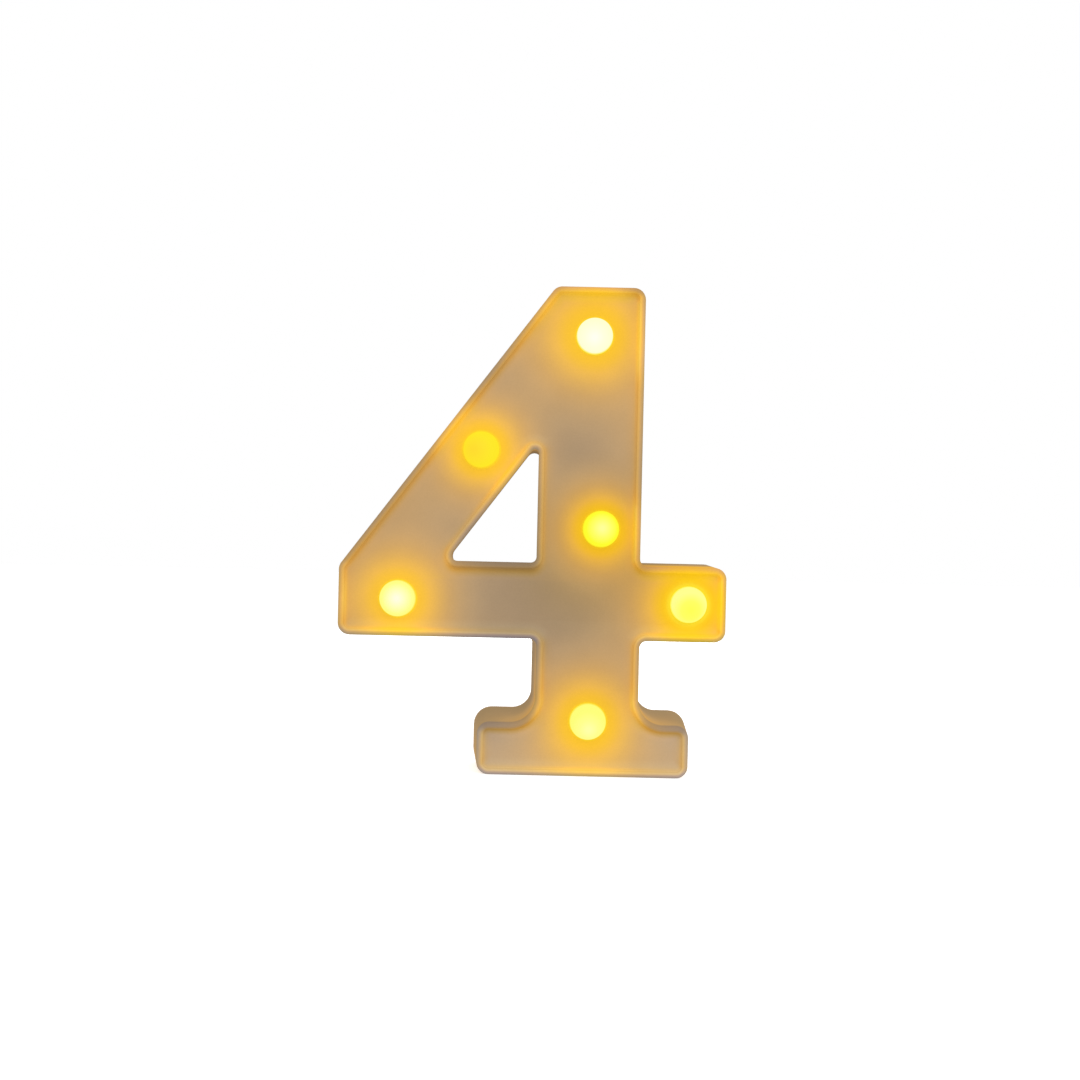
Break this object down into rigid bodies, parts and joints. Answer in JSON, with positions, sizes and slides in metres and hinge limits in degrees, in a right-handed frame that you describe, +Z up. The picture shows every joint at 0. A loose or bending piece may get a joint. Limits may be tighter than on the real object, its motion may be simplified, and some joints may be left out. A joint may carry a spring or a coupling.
{
  "type": "light up marquee number",
  "caption": "Free-standing digit-shaped marquee light: hollow plastic shell with glowing bulb caps, back cover with battery door and slide switch.",
  "frame": {"origin": "middle of the bounding box in X and Y, at the foot's underside (Z = 0)", "axes": "+Z up the number, -Y out of its face, +X to the right arm as seen from the front"},
  "size_m": [0.1298, 0.033, 0.1615],
  "materials": {
    "shell": "satin moulded plastic, warm cream, lit through by the bulbs",
    "cover": "satin moulded plastic, warm cream",
    "bulb": "frosted warm yellow plastic, lit",
    "led": "clear epoxy, lit",
    "holder": "satin white",
    "screw_steel": "zinc plated",
    "contact_plate": "nickel plated",
    "spring_steel": "nickel plated wire",
    "cell_wrap": "printed shrink wrap, plain",
    "wire_white": "soft insulation",
    "wire_red": "soft insulation",
    "wire_black": "soft insulation",
    "resistor": "lacquered",
    "switch_can": "tin plated",
    "knob": "satin black"
  },
  "bodies": {
    "casing": {"front_shell": "shell", "back_cover": "cover", "cover_screw_1": "screw_steel", "cover_screw_2": "screw_steel", "cover_screw_3": "screw_steel", "cover_screw_4": "screw_steel", "cover_screw_5": "screw_steel", "cover_screw_6": "screw_steel", "bulb_cap_1": "bulb", "bulb_cap_2": "bulb", "bulb_cap_3": "bulb", "bulb_cap_4": "bulb", "bulb_cap_5": "bulb", "bulb_cap_6": "bulb", "led_1": "led", "led_2": "led", "led_3": "led", "led_4": "led", "led_5": "led", "led_6": "led", "led_holder_1": "holder", "led_holder_2": "holder", "led_holder_3": "holder", "led_holder_4": "holder", "led_holder_5": "holder", "led_holder_6": "holder", "harness_link_1": "wire_white", "harness_link_2": "wire_white", "harness_link_3": "wire_white", "harness_link_4": "wire_white", "harness_link_5": "wire_white", "battery_cell_1": "cell_wrap", "battery_cell_2": "cell_wrap", "bridge_contact": "contact_plate", "bridge_spring": "spring_steel", "positive_contact": "contact_plate", "negative_contact": "contact_plate", "negative_spring": "spring_steel", "positive_lead": "wire_red", "switched_lead": "wire_red", "resistor_lead": "wire_red", "negative_lead": "wire_black", "resistor": "resistor", "switch_body": "switch_can", "switch_screw_1": "screw_steel", "switch_screw_2": "screw_steel"},
    "door": {"battery_door": "cover"},
    "latch": {"door_latch": "cover"},
    "knob": {"switch_knob": "knob"}
  },
  "joints": [
    {"name": "battery_door_hinge", "type": "hinge", "parent": "casing", "child": "door", "pos_m": [0.0182, 0.0165, 0.0216], "axis": [-1, 0, 0], "range_deg": [0, 60]},
    {"name": "door_latch_flex", "type": "hinge", "parent": "door", "child": "latch", "pos_m": [0.0182, 0.0085, 0.0785], "axis": [-1, 0, 0], "range_deg": [0, 8], "stiffness_Nm_per_rad": 0.05},
    {"name": "switch_slide", "type": "slide", "parent": "casing", "child": "knob", "axis": [1, 0, 0], "range_m": [0, 0.0032]}
  ]
}
